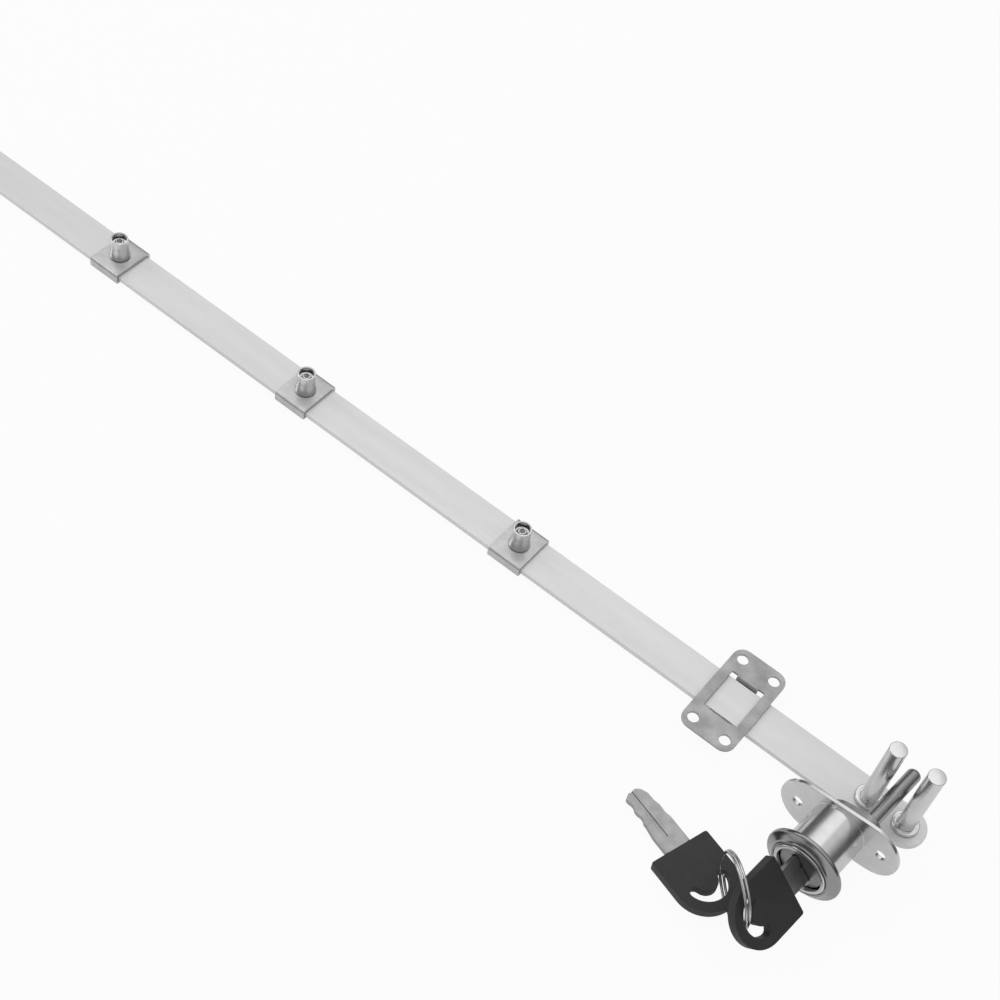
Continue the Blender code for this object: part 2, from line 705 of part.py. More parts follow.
def make_cam_screw():
    """The slotted screw that holds the cam disc on the plug."""
    head_y = CAM_REAR_Y + GAP
    tip_y = HOUSING_REAR_Y + BOSS_LENGTH - SCREW_DEPTH + GAP
    head_end = head_y + SCREW_HEAD_THICK
    profile = [
        (0.0, tip_y),
        (SCREW_RADIUS - 0.4, tip_y),
        (SCREW_RADIUS, tip_y + 0.4),
        (SCREW_RADIUS, head_y),
        (SCREW_HEAD_RADIUS, head_y),
        (SCREW_HEAD_RADIUS, head_end - 0.6),
        (SCREW_HEAD_RADIUS - 0.7, head_end),
        (0.0, head_end),
    ]
    screw = add_object("cam_screw", lathe(profile, SMALL_STEPS), on_plug(), STEEL)
    slot = box(3 * SCREW_HEAD_RADIUS, 1.6, 0.8, (0.0, head_end, 0.0))
    cut(screw, add_object("driver_slot", slot, on_plug()))


def blade_outline():
    """A key blade from tang to tip, with a cut at each wafer on one edge and steps on the other."""
    wide = BLADE_HALF_WIDTH
    points = [(-TANG_HALF_WIDTH, -TANG_LENGTH), (-TANG_HALF_WIDTH, 0.0)]
    points += [(-wide, 0.0), (-wide, BLADE_PLAIN)]
    flat = WAFER_PITCH * 0.22
    for number, depth in enumerate(CUT_DEPTHS):
        y = FIRST_WAFER_Y + number * WAFER_PITCH - SHOULDER_Y
        points += [(depth - wide, y - flat), (depth - wide, y + flat)]
    points += [(-0.4 * wide, BLADE_LENGTH - 0.3), (0.25 * wide, BLADE_LENGTH)]
    points += [(0.55 * wide, BLADE_LENGTH - 1.0)]
    for part, inset in ((0.86, 1.0), (0.72, 0.9), (0.64, 0.35), (0.5, 0.5), (0.42, 0.0)):
        points.append((wide - inset, BLADE_LENGTH * part))
    points += [(wide, 0.0), (TANG_HALF_WIDTH, 0.0), (TANG_HALF_WIDTH, -TANG_LENGTH)]
    return points


def make_blade(name, place):
    """A flat metal blade with a milled groove in each face."""
    half = BLADE_THICK / 2
    blade = add_object(name, prism(blade_outline(), -half, half, along_z), place, STEEL)
    length = BLADE_LENGTH - 3.5
    grooves = []
    for side, x in ((1, -0.9), (-1, 0.9)):
        centre = (x, 4.5 + length / 2, side * half)
        grooves.append(box(1.1, length, 0.9, centre))
    cut(blade, add_object(f"{name}_grooves", together(grooves), place))


def bow_outline():
    """A square-shouldered bow with a half-round end."""
    half = BOW_HALF_WIDTH
    corner = 0.8
    outline = arc(half - corner, -corner, corner, 0.0, math.pi / 2, 3)
    outline += arc(corner - half, -corner, corner, math.pi / 2, math.pi, 3)
    outline += arc(0.0, SLOT_CENTRE_Y, half, math.pi, 2 * math.pi, 28)
    return outline


def bow_slot():
    """The curved opening for the split ring, round the centre of the half-round end."""
    down = -math.pi / 2
    reach = BOW_SLOT_REACH
    middle = (BOW_SLOT_INNER + BOW_SLOT_OUTER) / 2
    cap = (BOW_SLOT_OUTER - BOW_SLOT_INNER) / 2
    outline = arc(0.0, SLOT_CENTRE_Y, BOW_SLOT_OUTER, down - reach, down + reach, 16)
    angle = down + reach
    cap_x = middle * math.cos(angle)
    cap_y = SLOT_CENTRE_Y + middle * math.sin(angle)
    outline += arc(cap_x, cap_y, cap, angle, angle + math.pi, 6)[1:-1]
    outline += arc(0.0, SLOT_CENTRE_Y, BOW_SLOT_INNER, down + reach, down - reach, 12)
    angle = down - reach
    cap_x = middle * math.cos(angle)
    cap_y = SLOT_CENTRE_Y + middle * math.sin(angle)
    outline += arc(cap_x, cap_y, cap, angle + math.pi, angle + 2 * math.pi, 6)[1:-1]
    return outline


def make_bow(name, place):
    """A moulded bow with eased edges, a slot for the ring and a pocket for the tang."""
    half = BOW_THICK / 2
    bow = add_object(name, prism(bow_outline(), -half, half, along_z, [bow_slot()]), place, PLASTIC)
    bevel = bow.modifiers.new("eased_edges", "BEVEL")
    bevel.width = BOW_BEVEL * MM
    bevel.segments = 2
    bevel.limit_method = "ANGLE"
    bevel.angle_limit = math.radians(60)
    depth = TANG_LENGTH + GAP
    pocket = box(
        2 * (TANG_HALF_WIDTH + GAP), depth + 1.0, BLADE_THICK + 0.3, (0.0, 0.5 - depth / 2, 0.0)
    )
    cut(bow, add_object(f"{name}_pocket", pocket, place))


def key_in_lock():
    """The key pushed home in the plug."""
    return on_plug() @ at(y=SHOULDER_Y)


def spare_key():
    """The spare key on the table, with its bow raised by the ring."""
    turn = Matrix.Rotation(SPARE_HEADING, 4, "Z") @ Matrix.Rotation(SPARE_PITCH, 4, "X")
    return Matrix.Rotation(-LOCK_TURN, 4, "Z") @ Matrix.Translation(SPARE_SHOULDER) @ turn


def make_keys():
    """Both keys: the blade sits a gap clear of the bow's shoulder."""
    for name, place in (("key", key_in_lock()), ("spare_key", spare_key())):
        make_blade(f"{name}_blade", place)
        make_bow(f"{name}_bow", place @ at(y=-GAP))


def split_ring_heights(step_angle):
    """The two coils of the split ring lie flat, and the wire crosses between them on one short arc."""
    whole = 4 * math.pi - 2 * RING_END
    count = round(whole / step_angle)
    heights = []
    for step in range(count + 1):
        past_middle = (step * step_angle - whole / 2) / RING_END
        share = max(-1.0, min(1.0, past_middle))
        heights.append(RING_PITCH / 2 * math.sin(share * math.pi / 2))
    return heights


def make_split_ring():
    """The double ring of wire, hung through the slots of both bows."""
    crossing = in_lock() @ at(y=SHOULDER_Y - GAP + SLOT_CENTRE_Y - RING_CROSSING)
    lean = Matrix.Rotation(-RING_LEAN, 4, "Y")
    heading = Matrix.Rotation(RING_HEADING, 4, "Z")
    upright = Matrix.Rotation(math.pi / 2, 4, "X")
    place = crossing @ lean @ heading @ at(RING_RADIUS) @ upright
    step_angle = math.radians(10.0)
    heights = split_ring_heights(step_angle)
    mesh = wound_wire(RING_RADIUS, RING_WIRE_RADIUS, RING_END, step_angle, heights, 8)
    add_object("split_ring", mesh, place, BRIGHT)


def set_on_origin():
    """Moves everything so that the whole stands on Z = 0 with its middle on the Z axis."""
    bpy.context.view_layer.update()
    graph = bpy.context.evaluated_depsgraph_get()
    low = Vector((math.inf,) * 3)
    high = Vector((-math.inf,) * 3)
    for item in bpy.context.scene.objects:
        if item.hide_render:
            continue
        solid = item.evaluated_get(graph)
        for point in solid.to_mesh().vertices:
            place = solid.matrix_world @ point.co
            low = Vector(map(min, low, place))
            high = Vector(map(max, high, place))
        solid.to_mesh_clear()
    middle = (low + high) / 2
    for item in bpy.context.scene.objects:
        item.location -= Vector((middle.x, middle.y, low.z))


def main():
    """Builds every piece of the lock."""
    clear_scene()
    make_bar()
    make_bar_pin("bar_pin_inner", INNER_PIN_X)
    make_bar_pin("bar_pin_outer", OUTER_PIN_X)
    for number, x in enumerate(CLIP_PLACES, 1):
        make_clip(number, x)
    make_guide_plate()
    make_housing()
    make_trim_ring()
    make_plug()
    for number in range(WAFER_COUNT):
        make_wafer(number)
    make_cam_disc()
    make_cam_pin()
    make_cam_screw()
    make_keys()
    make_split_ring()
    set_on_origin()


main()
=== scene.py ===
"""Looks of a multi-drawer lock laid out flat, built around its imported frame.

Lengths in the dataclass fields are in millimetres unless a comment says otherwise.
"""

from __future__ import annotations

import json
import logging
import math
from dataclasses import dataclass
from enum import Enum

import bmesh
import bpy
from mathutils import Matrix, Vector

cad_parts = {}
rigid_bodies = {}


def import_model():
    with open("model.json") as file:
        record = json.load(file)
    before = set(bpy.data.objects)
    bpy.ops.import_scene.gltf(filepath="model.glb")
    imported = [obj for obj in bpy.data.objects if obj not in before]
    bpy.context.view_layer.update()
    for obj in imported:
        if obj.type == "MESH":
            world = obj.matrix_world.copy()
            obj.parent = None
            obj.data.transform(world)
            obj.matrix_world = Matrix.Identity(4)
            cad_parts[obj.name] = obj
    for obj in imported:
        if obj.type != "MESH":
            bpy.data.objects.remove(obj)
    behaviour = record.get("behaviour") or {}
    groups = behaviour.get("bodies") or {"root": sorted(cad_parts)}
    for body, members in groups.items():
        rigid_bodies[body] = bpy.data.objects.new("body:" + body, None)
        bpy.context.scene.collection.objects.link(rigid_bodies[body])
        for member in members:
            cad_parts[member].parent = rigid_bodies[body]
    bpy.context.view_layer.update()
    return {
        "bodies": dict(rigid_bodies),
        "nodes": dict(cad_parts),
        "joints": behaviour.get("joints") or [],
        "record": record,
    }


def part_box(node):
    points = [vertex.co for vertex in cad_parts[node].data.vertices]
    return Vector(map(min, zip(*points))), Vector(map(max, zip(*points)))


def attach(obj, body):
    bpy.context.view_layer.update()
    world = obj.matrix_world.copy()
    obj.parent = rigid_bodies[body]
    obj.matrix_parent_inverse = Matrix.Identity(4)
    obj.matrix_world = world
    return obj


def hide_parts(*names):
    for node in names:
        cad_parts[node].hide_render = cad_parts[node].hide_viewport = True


MM = 0.001
LOG = logging.getLogger("drawer_lock")

Colour = tuple[float, float, float]
Profile = list[tuple[float, float]]


class Grain(Enum):
    """How a surface was worked, as the stretch of its texture along X, Y and Z."""

    ROLLED = (0.06, 1.0, 1.0)
    EVEN = (1.0, 1.0, 1.0)
    DRAWN = (1.0, 0.25, 1.0)


def grey(level: float) -> Colour:
    """A neutral colour."""
    return (level, level, level)


def scaled(colour: Colour, factor: float) -> Colour:
    """Makes a colour lighter or darker.

    Args:
        colour: The colour.
        factor: How many times as light it becomes, up to white.

    Returns:
        The new colour.
    """
    return tuple(min(1.0, part * factor) for part in colour)


class NodeSheet:
    """The node tree of one material, with the few node patterns that the finishes share."""

    # The part of a noise that is spread out.
    NOISE_LOW = 0.3
    NOISE_HIGH = 0.7
    # The cosines of a lean that count as a flat face and as a full edge.
    FLAT_LEAN = 0.99
    EDGE_LEAN = 0.85
    EDGE_SAMPLES = 4
    # The places of the sockets that a mix node uses for colours.
    MIX_SHARE = 0
    MIX_FIRST = 6
    MIX_SECOND = 7
    MIX_RESULT = 2

    def __init__(self, name: str) -> None:
        """Starts a material.

        Args:
            name: The material's name.
        """
        self.material = bpy.data.materials.new(name)
        self.material.use_nodes = True
        self.tree = self.material.node_tree
        self.shader = self.tree.nodes["Principled BSDF"]

    def add(self, kind: str, **settings: object) -> bpy.types.Node:
        """Adds a node.

        Args:
            kind: The node's type name.
            **settings: Attributes to set on it.

        Returns:
            The new node.
        """
        node = self.tree.nodes.new(kind)
        for key, value in settings.items():
            setattr(node, key, value)
        return node

    def link(self, source: bpy.types.NodeSocket, target: bpy.types.NodeSocket) -> None:
        """Joins two sockets."""
        self.tree.links.new(source, target)

    def noise(self, grain: Grain, cells: float, detail: float = 4.0) -> bpy.types.NodeSocket:
        """A noise over the object's own coordinates.

        Args:
            grain: The direction that the noise is drawn out in.
            cells: Noise cells to a metre.
            detail: Octaves of finer noise.

        Returns:
            The noise's value, about 0.5 in the middle.
        """
        place = self.add("ShaderNodeTexCoord")
        stretch = self.add("ShaderNodeMapping")
        stretch.inputs["Scale"].default_value = grain.value
        pattern = self.add("ShaderNodeTexNoise")
        pattern.inputs["Scale"].default_value = cells
        pattern.inputs["Detail"].default_value = detail
        self.link(place.outputs["Object"], stretch.inputs["Vector"])
        self.link(stretch.outputs["Vector"], pattern.inputs["Vector"])
        return pattern.outputs["Fac"]

    def spread(self, value: bpy.types.NodeSocket, low: float, high: float) -> bpy.types.NodeSocket:
        """Maps the middle of a noise to a range.

        Args:
            value: The noise.
            low: The result where the noise is NOISE_LOW.
            high: The result where the noise is NOISE_HIGH.

        Returns:
            The mapped value.
        """
        mapped = self.add("ShaderNodeMapRange")
        mapped.inputs["From Min"].default_value = self.NOISE_LOW
        mapped.inputs["From Max"].default_value = self.NOISE_HIGH
        mapped.inputs["To Min"].default_value = low
        mapped.inputs["To Max"].default_value = high
        self.link(value, mapped.inputs["Value"])
        return mapped.outputs["Result"]

    def tint(self, share: bpy.types.NodeSocket, first: Colour, second: Colour) -> bpy.types.NodeSocket:
        """Mixes two colours.

        Args:
            share: How much of the second colour there is.
            first: The colour at 0.
            second: The colour at 1.

        Returns:
            The mixed colour.
        """
        mix = self.add("ShaderNodeMix", data_type="RGBA")
        mix.inputs[self.MIX_FIRST].default_value = (*first, 1.0)
        mix.inputs[self.MIX_SECOND].default_value = (*second, 1.0)
        self.link(share, mix.inputs[self.MIX_SHARE])
        return mix.outputs[self.MIX_RESULT]

    def edges(self, reach: float, share: float) -> bpy.types.NodeSocket:
        """Finds the edges of a shape, where a rounded normal leans away from the true one.

        Args:
            reach: How far in from an edge they go, in millimetres.
            share: The value on a sharp edge, from 0 to 1.

        Returns:
            0 on the faces and up to the share on the edges.
        """
        shape = self.add("ShaderNodeNewGeometry")
        rounding = self.add("ShaderNodeBevel", samples=self.EDGE_SAMPLES)
        rounding.inputs["Radius"].default_value = reach * MM
        lean = self.add("ShaderNodeVectorMath", operation="DOT_PRODUCT")
        self.link(shape.outputs["Normal"], lean.inputs[0])
        self.link(rounding.outputs["Normal"], lean.inputs[1])
        mapped = self.add("ShaderNodeMapRange")
        mapped.inputs["From Min"].default_value = self.FLAT_LEAN
        mapped.inputs["From Max"].default_value = self.EDGE_LEAN
        mapped.inputs["To Max"].default_value = share
        self.link(lean.outputs["Value"], mapped.inputs["Value"])
        return mapped.outputs["Result"]

    def wear(self, body: bpy.types.NodeSocket, worn: Colour, reach: float, share: float) -> None:
        """Colours the surface, with another colour along its edges, which is partly rubbing and partly a
        painted highlight.

        Args:
            body: The colour of the faces.
            worn: The colour of the edges.
            reach: How far in from an edge the rubbing and painted highlight go, in millimetres.
            share: How much rubbing and painted highlight there is on a sharp edge, from 0 to 1.
        """
        mix = self.add("ShaderNodeMix", data_type="RGBA")
        mix.inputs[self.MIX_SECOND].default_value = (*worn, 1.0)
        self.link(self.edges(reach, share), mix.inputs[self.MIX_SHARE])
        self.link(body, mix.inputs[self.MIX_FIRST])
        self.link(mix.outputs[self.MIX_RESULT], self.shader.inputs["Base Color"])

    def relief(self, height: bpy.types.NodeSocket, strength: float, depth: float) -> None:
        """Gives the surface a fine relief.

        Args:
            height: The height pattern.
            strength: How strongly it shades, from 0 to 1.
            depth: Its depth in millimetres.
        """
        bump = self.add("ShaderNodeBump")
        bump.inputs["Strength"].default_value = strength
        bump.inputs["Distance"].default_value = depth * MM
        self.link(height, bump.inputs["Height"])
        self.link(bump.outputs["Normal"], self.shader.inputs["Normal"])


@dataclass(frozen=True)
class PlatedMetal:
    """A plated or bare metal, mottled, and lighter along its edges, partly from rubbing and partly as a
    painted highlight.
    """

    name: str
    colour: Colour
    metallic: float
    roughness: float
    mottling: float = 0.06
    roughness_spread: float = 0.06
    grain: Grain = Grain.EVEN
    cells: float = 350.0
    # How many times as many cells the fine noise has, and its octaves.
    fineness: float = 9.0
    fine_detail: float = 3.0
    relief_strength: float = 0.12
    relief_depth: float = 0.03
    # Lighter edges, partly rubbing of the plating and partly a painted highlight.
    worn: Colour = grey(0.9)
    wear_reach: float = 0.25
    wear_share: float = 0.6

    def material(self) -> bpy.types.Material:
        """Makes the finish.

        Returns:
            Its material.
        """
        sheet = NodeSheet(self.name)
        dark = scaled(self.colour, 1.0 - self.mottling)
        light = scaled(self.colour, 1.0 + self.mottling)
        broad = sheet.spread(sheet.noise(self.grain, self.cells), 0.0, 1.0)
        # The edges are lighter, partly from rubbing and partly as a painted highlight.
        sheet.wear(sheet.tint(broad, dark, light), self.worn, self.wear_reach, self.wear_share)
        fine = sheet.noise(self.grain, self.cells * self.fineness, self.fine_detail)
        low = self.roughness - self.roughness_spread
        high = self.roughness + self.roughness_spread
        sheet.link(sheet.spread(fine, low, high), sheet.shader.inputs["Roughness"])
        sheet.shader.inputs["Metallic"].default_value = self.metallic
        sheet.relief(fine, self.relief_strength, self.relief_depth)
        return sheet.material


@dataclass(frozen=True)
class MilledMetal:
    """Key steel with the fine parallel marks of a milling cutter."""

    name: str
    colour: Colour
    roughness: float
    marks: float = 900.0
    mark_wander: float = 2.5
    mark_detail: float = 2.0
    patch_cells: float = 260.0
    patch_dark: float = 0.86
    patch_light: float = 1.1
    # How far the roughness goes below and above its own value.
    smoother: float = 0.05
    rougher: float = 0.08
    relief_strength: float = 0.15
    relief_depth: float = 0.02

    def material(self) -> bpy.types.Material:
        """Makes the finish.

        Returns:
            Its material.
        """
        sheet = NodeSheet(self.name)
        place = sheet.add("ShaderNodeTexCoord")
        lines = sheet.add("ShaderNodeTexWave", bands_direction="DIAGONAL")
        lines.inputs["Scale"].default_value = self.marks
        lines.inputs["Distortion"].default_value = self.mark_wander
        lines.inputs["Detail"].default_value = self.mark_detail
        sheet.link(place.outputs["Object"], lines.inputs["Vector"])
        patches = sheet.spread(sheet.noise(Grain.EVEN, self.patch_cells), 0.0, 1.0)
        dark = scaled(self.colour, self.patch_dark)
        light = scaled(self.colour, self.patch_light)
        sheet.link(sheet.tint(patches, dark, light), sheet.shader.inputs["Base Color"])
        low = self.roughness - self.smoother
        high = self.roughness + self.rougher
        sheet.link(sheet.spread(lines.outputs["Fac"], low, high), sheet.shader.inputs["Roughness"])
        sheet.shader.inputs["Metallic"].default_value = 1.0
        sheet.relief(lines.outputs["Fac"], self.relief_strength, self.relief_depth)
        return sheet.material


@dataclass(frozen=True)
class MouldedPlastic:
    """Black plastic with the fine spark grain of its mould."""

    name: str
    colour: Colour
    roughness: float
    grain_cells: float = 5200.0
    grain_detail: float = 2.0
    patch_cells: float = 160.0
    patch_dark: float = 0.88
    patch_light: float = 1.16
    # Lighter edges, partly rubbing and partly a painted highlight.
    edge_light: float = 2.1
    edge_reach: float = 0.3
    edge_share: float = 0.5
    # How far the roughness goes below and above its own value.
    smoother: float = 0.06
    rougher: float = 0.1
    relief_strength: float = 0.35
    relief_depth: float = 0.04

    def material(self) -> bpy.types.Material:
        """Makes the finish.

        Returns:
            Its material.
        """
        sheet = NodeSheet(self.name)
        patches = sheet.spread(sheet.noise(Grain.EVEN, self.patch_cells), 0.0, 1.0)
        dark = scaled(self.colour, self.patch_dark)
        light = scaled(self.colour, self.patch_light)
        # The edge colour is partly rubbing and partly a painted highlight.
        edge_rub_and_highlight = scaled(self.colour, self.edge_light)
        sheet.wear(sheet.tint(patches, dark, light), edge_rub_and_highlight, self.edge_reach, self.edge_share)
        spark = sheet.noise(Grain.EVEN, self.grain_cells, self.grain_detail)
        low = self.roughness - self.smoother
        high = self.roughness + self.rougher
        sheet.link(sheet.spread(spark, low, high), sheet.shader.inputs["Roughness"])
        sheet.relief(spark, self.relief_strength, self.relief_depth)
        return sheet.material


@dataclass(frozen=True)
class Finishes:
    """Every finish of the lock, by the name that the sub-assemblies ask for."""

    bar_plate: PlatedMetal = PlatedMetal(
        name="satin_bar_plate",
        colour=grey(0.78),
        metallic=0.45,
        roughness=0.42,
        mottling=0.035,
        grain=Grain.ROLLED,
        cells=240.0,
    )
    clip_plate: PlatedMetal = PlatedMetal(
        name="clip_sheet_plate",
        colour=grey(0.58),
        metallic=0.75,
        roughness=0.34,
        mottling=0.08,
        roughness_spread=0.07,
        cells=260.0,
    )
    guide_plate: PlatedMetal = PlatedMetal(
        name="guide_sheet_plate",
        colour=grey(0.38),
        metallic=0.75,
        roughness=0.36,
        mottling=0.24,
        roughness_spread=0.07,
        cells=150.0,
    )
    bright_plate: PlatedMetal = PlatedMetal(
        name="bright_nickel_plate",
        colour=grey(0.66),
        metallic=1.0,
        roughness=0.2,
        mottling=0.04,
        roughness_spread=0.04,
        cells=300.0,
        relief_strength=0.06,
    )
    turned_plate: PlatedMetal = PlatedMetal(
        name="turned_pin_plate",
        colour=grey(0.7),
        metallic=1.0,
        roughness=0.22,
        mottling=0.04,
        roughness_spread=0.05,
        grain=Grain.DRAWN,
        cells=420.0,
        relief_strength=0.08,
    )
    # The ring's nickel plate, darkened as painted shade for its dished front.
    ring_plate: PlatedMetal = PlatedMetal(
        name="nickel_plate_painted_shade",
        colour=grey(0.33),
        metallic=1.0,
        roughness=0.2,
        mottling=0.05,
        roughness_spread=0.04,
        cells=300.0,
        relief_strength=0.06,
    )
    cam_pin_plate: PlatedMetal = PlatedMetal(
        name="dull_pin_plate",
        colour=grey(0.34),
        metallic=1.0,
        roughness=0.3,
        grain=Grain.DRAWN,
        cells=420.0,
        relief_strength=0.1,
    )
    # The plug's duller plate, with its dark colour as painted shade in the recess.
    plug_plate: PlatedMetal = PlatedMetal(
        name="dull_finish_plug_painted_shade",
        colour=grey(0.3),
        metallic=1.0,
        roughness=0.32,
        mottling=0.08,
        cells=420.0,
    )
    dull_zinc: PlatedMetal = PlatedMetal(
        name="cast_zinc",
        colour=grey(0.36),
        metallic=0.9,
        roughness=0.42,
        mottling=0.12,
        roughness_spread=0.08,
        cells=380.0,
        relief_strength=0.25,
    )
    spring_steel: PlatedMetal = PlatedMetal(
        name="drawn_steel",
        colour=grey(0.56),
        metallic=1.0,
        roughness=0.28,
        mottling=0.08,
        roughness_spread=0.05,
        cells=500.0,
    )
    wafer_brass: PlatedMetal = PlatedMetal(
        name="stamped_brass",
        colour=(0.66, 0.5, 0.24),
        metallic=1.0,
        roughness=0.34,
        mottling=0.1,
        cells=500.0,
    )
    key_steel: MilledMetal = MilledMetal(
        name="milled_key_steel",
        colour=grey(0.4),
        roughness=0.36,
    )
    black_plastic: MouldedPlastic = MouldedPlastic(
        name="moulded_black",
        colour=(0.024, 0.024, 0.025),
        roughness=0.52,
    )

    def made(self) -> dict[str, bpy.types.Material]:
        """Makes every finish once.

        Returns:
            The materials by field name.
        """
        return {name: getattr(self, name).material() for name in self.__dataclass_fields__}


class Workshop:
    """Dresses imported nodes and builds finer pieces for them."""

    # Angles in degrees: what still counts as one flat face, as an edge to ease, and as a smooth turn.
    FLAT_ANGLE = 0.6
    EDGE_ANGLE = 33.0
    SMOOTH_ANGLE = 38.0
    BROAD_FACE_WEIGHT = 90
    PACKED_SHADING = ("custom_normal", "sharp_edge", "sharp_face")

    def __init__(self, frame: dict, materials: dict[str, bpy.types.Material]) -> None:
        """Keeps what every sub-assembly needs.

        Args:
            materials: The finishes by name.
        """
        self.nodes = frame["nodes"]
        self.materials = materials
        turn = next(joint for joint in frame["joints"] if joint["name"] == "plug_turn")
        rearward = -Vector(turn["axis"]).normalized()
        low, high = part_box("bar_pin_inner")
        bar_line = (low.y + high.y) / 2.0
        start = Vector(turn["pos_m"])
        self.heading = math.atan2(rearward.x, rearward.y)
        self.axis_point = start + rearward * ((bar_line - start.y) / rearward.y)

    def coat(self, made: bpy.types.Object, finish: str) -> None:
        """Gives an object one finish."""
        made.data.materials.clear()
        made.data.materials.append(self.materials[finish])

    def dress(
        self, node: str, finish: str, edge: float = 0.0, segments: int = 2, join: float = 0.01
    ) -> None:
        """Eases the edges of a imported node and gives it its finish.

        Args:
            node: The node's name.
            finish: The finish's name.
            edge: The width of the eased edge, or 0 for none.
            segments: Faces across the eased edge.
            join: Corners closer than this become one, so that no short edge is left to ease.
        """
        made = self.nodes[node]
        for name in self.PACKED_SHADING:
            layer = made.data.attributes.get(name)
            if layer is not None:
                made.data.attributes.remove(layer)
        made.data.polygons.foreach_set("use_smooth", [True] * len(made.data.polygons))
        weld = made.modifiers.new("joined_corners", "WELD")
        weld.merge_threshold = join * MM
        flat = made.modifiers.new("whole_faces", "DECIMATE")
        flat.decimate_type = "DISSOLVE"
        flat.angle_limit = math.radians(self.FLAT_ANGLE)
        if edge > 0.0:
            self.ease(made, edge, segments)
        self.coat(made, finish)
        LOG.info("dressed %s with %s", node, finish)

    def ease(self, made: bpy.types.Object, edge: float, segments: int) -> None:
        """Adds an eased edge.

        Args:
            made: The object.
            edge: The edge's width.
            segments: Faces across it.
        """
        bevel = made.modifiers.new("eased_edges", "BEVEL")
        bevel.width = edge * MM
        bevel.segments = segments
        bevel.limit_method = "ANGLE"
        bevel.angle_limit = math.radians(self.EDGE_ANGLE)
        bevel.use_clamp_overlap = False
        bevel.harden_normals = True
        bevel.miter_outer = "MITER_ARC"

    def flatten(self, node: str) -> None:
        """Shades the broad faces of a dressed node as flat ones."""
        shading = self.nodes[node].modifiers.new("flat_faces", "WEIGHTED_NORMAL")
        shading.weight = self.BROAD_FACE_WEIGHT

    def round_wire(self, node: str) -> None:
        """Smooths a dressed node of round wire, in place of joining its flat faces.

        Args:
            node: The node's name.
        """
        made = self.nodes[node]
        made.modifiers.remove(made.modifiers["whole_faces"])
        smooth = made.modifiers.new("round_wire", "SUBSURF")
        smooth.levels = 1
        smooth.render_levels = 1

    def piece(self, name: str, mesh_data: bmesh.types.BMesh, place: Matrix, finish: str) -> bpy.types.Object:
        """Turns a mesh, in millimetres, into a finished piece in the frame's metres.

        Args:
            name: The piece's name.
            mesh_data: Its mesh about its own place, which is freed.
            place: That place, with its shift in metres.
            finish: The finish's name.

        Returns:
            The piece.
        """
        bmesh.ops.recalc_face_normals(mesh_data, faces=mesh_data.faces[:])
        if mesh_data.calc_volume(signed=True) < 0:
            bmesh.ops.reverse_faces(mesh_data, faces=mesh_data.faces[:])
        bmesh.ops.scale(mesh_data, vec=(MM, MM, MM), verts=mesh_data.verts[:])
        bmesh.ops.transform(mesh_data, matrix=place, verts=mesh_data.verts[:])
        mesh = bpy.data.meshes.new(name)
        mesh_data.to_mesh(mesh)
        mesh_data.free()
        mesh.shade_smooth()
        mesh.set_sharp_from_angle(angle=math.radians(self.SMOOTH_ANGLE))
        made = bpy.data.objects.new(name, mesh)
        bpy.context.scene.collection.objects.link(made)
        self.coat(made, finish)
        return made

    def stand_for(self, made: bpy.types.Object, node: str, body: str) -> None:
        """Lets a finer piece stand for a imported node.

        Args:
            made: The piece.
            node: The node that it replaces.
            body: The body that it rides on.
        """
        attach(made, body)
        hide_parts(node)
        LOG.info("%s stands for %s", made.name, node)

    def on_lock_axis(self) -> Matrix:
        """The lock's axes: Y along the lock axis towards the cam, from where it crosses the bar."""
        return Matrix.Translation(self.axis_point) @ Matrix.Rotation(-self.heading, 4, "Z")


def turned(profile: Profile, steps: int, upright: bool) -> bmesh.types.BMesh:
    """Turns a profile about an axis.

    Args:
        profile: Points of (radius, height), closed from the last to the first unless they end on the axis.
        steps: Facets round the axis.
        upright: Whether the axis is Z. Otherwise it is Y.

    Returns:
        The mesh, in the profile's own unit.
    """
    mesh = bmesh.new()
    rings = []
    for radius, height in profile:
        count = 1 if radius == 0.0 else steps
        ring = []
        for step in range(count):
            angle = 2.0 * math.pi * step / steps
            across, along = radius * math.cos(angle), radius * math.sin(angle)
            spot = (across, along, height) if upright else (across, height, along)
            ring.append(mesh.verts.new(spot))
        rings.append(ring)
    pairs = list(zip(rings, rings[1:]))
    if profile[0][0] > 0.0:
        pairs.append((rings[-1], rings[0]))
    for lower, upper in pairs:
        for step in range(steps):
            after = (step + 1) % steps
            corners = [lower[step % len(lower)], lower[after % len(lower)]]
            corners += [upper[after % len(upper)], upper[step % len(upper)]]
            corners = list(dict.fromkeys(corners))
            if len(corners) > 2:
                mesh.faces.new(corners)
    return mesh


def rounded(corner: tuple[float, float], radius: float, steps: int = 4) -> Profile:
    """Rounds the outer upper corner of a profile.

    Args:
        corner: The sharp corner, as (radius, height).
        radius: The round's own radius.
        steps: Faces along it.

    Returns:
        The profile's points, from the outermost to the highest.
    """
    across, along = corner[0] - radius, corner[1] - radius
    points = []
    for step in range(steps + 1):
        angle = math.radians(90.0 * step / steps)
        points.append((across + radius * math.cos(angle), along + radius * math.sin(angle)))
    return points


